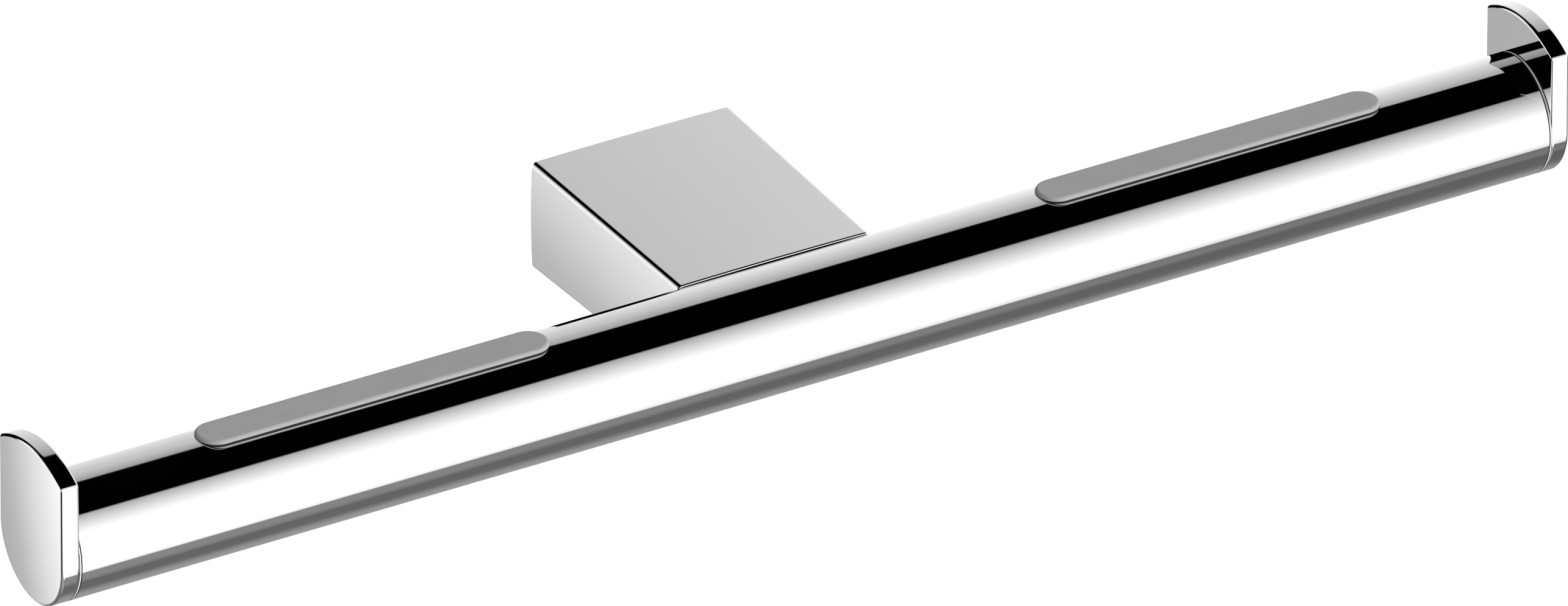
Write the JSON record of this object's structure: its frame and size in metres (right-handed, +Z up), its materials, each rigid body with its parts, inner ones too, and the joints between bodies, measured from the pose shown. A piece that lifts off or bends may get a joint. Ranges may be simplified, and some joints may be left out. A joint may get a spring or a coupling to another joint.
{
  "type": "double toilet roll holder",
  "caption": "Wall-mounted toilet roll bar: a chromed tube on a central block arm, with raised end plates and soft grey brake pads on top.",
  "frame": {"origin": "middle of the wall bracket's back, on the wall", "axes": "+X along the bar to the right as seen from the room, +Y into the wall, +Z up"},
  "size_m": [0.3788, 0.0845, 0.0383],
  "materials": {
    "chromed_brass": "brass tube, polished and chromed to a mirror",
    "chromed_zinc": "die-cast zinc, polished and chromed to a mirror",
    "brass": "turned, bare",
    "ring_rubber": "moulded, matt black",
    "stainless_steel": "bare stainless steel",
    "pad_rubber": "moulded soft rubber, matt mid-grey",
    "moulded_plastic": "moulded, matt dark grey",
    "zinc_plated_steel": "zinc plated, dull"
  },
  "bodies": {
    "root": {"bar_tube": "chromed_brass", "left_end_plate": "chromed_zinc", "right_end_plate": "chromed_zinc", "left_end_plug": "brass", "right_end_plug": "brass", "left_plug_rings": "ring_rubber", "right_plug_rings": "ring_rubber", "left_plate_screws": "stainless_steel", "right_plate_screws": "stainless_steel", "left_grip_pad": "pad_rubber", "right_grip_pad": "pad_rubber", "left_pad_carrier": "moulded_plastic", "right_pad_carrier": "moulded_plastic", "support_arm": "chromed_zinc", "clamp_block": "zinc_plated_steel", "clamp_screws": "stainless_steel", "clamp_washers": "stainless_steel", "wall_bracket": "zinc_plated_steel", "lock_screw": "stainless_steel"}
  },
  "joints": []
}
